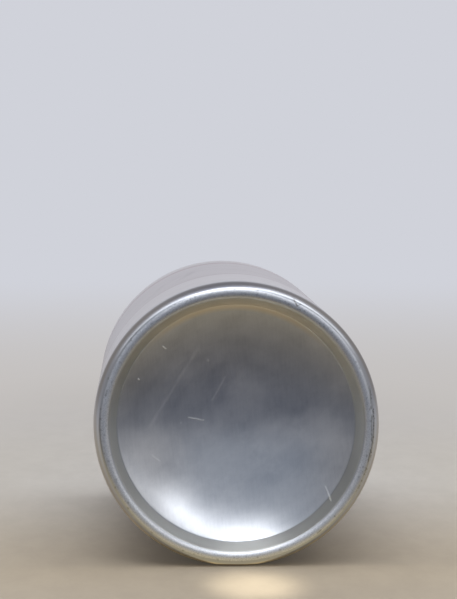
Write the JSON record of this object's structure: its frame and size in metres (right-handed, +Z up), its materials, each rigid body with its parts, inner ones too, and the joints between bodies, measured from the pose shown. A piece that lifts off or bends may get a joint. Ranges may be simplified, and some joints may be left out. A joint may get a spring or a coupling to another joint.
{
  "type": "drinks can",
  "caption": "Shut drawn aluminium drinks can lying on its side: wide domed base, pale printed wall, short neck, seamed end with a pull tab.",
  "frame": {"origin": "on the surface that the can lies on, under the middle of the can", "axes": "+Y along the can from its domed base to its seamed end, +Z up, +X to the right when the base is looked at"},
  "size_m": [0.066, 0.1222, 0.0657],
  "materials": {
    "printed_body": "satin",
    "end_metal": "satin",
    "tab_metal": "satin"
  },
  "bodies": {
    "root": {"can_body": "printed_body", "can_end": "end_metal", "pull_tab": "tab_metal"}
  },
  "joints": []
}
